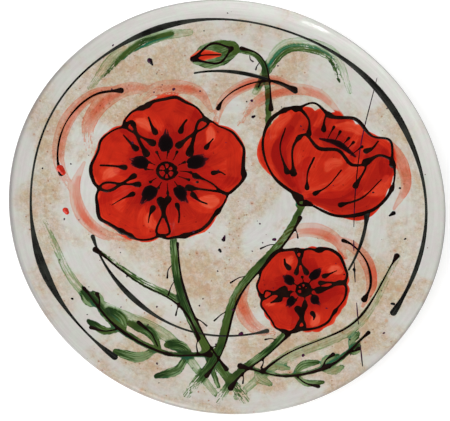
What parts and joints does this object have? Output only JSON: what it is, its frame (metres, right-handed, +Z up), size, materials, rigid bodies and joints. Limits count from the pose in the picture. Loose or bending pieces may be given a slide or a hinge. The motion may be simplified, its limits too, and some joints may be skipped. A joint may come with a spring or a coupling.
{
  "type": "painted ceramic platter",
  "caption": "Round shallow coupe platter in glazed stoneware, with a foot ring, painted with loose red poppies, green leaves and raised black lines.",
  "frame": {"origin": "centre of the foot ring's resting face", "axes": "+Z up, the axis of the turning, out of the painted face; +Y towards the top of the painting; +X to its right"},
  "size_m": [0.32, 0.32, 0.022],
  "materials": {
    "glaze": "gloss",
    "black_line": "gloss"
  },
  "bodies": {
    "root": {"plate": "glaze"}
  },
  "joints": []
}
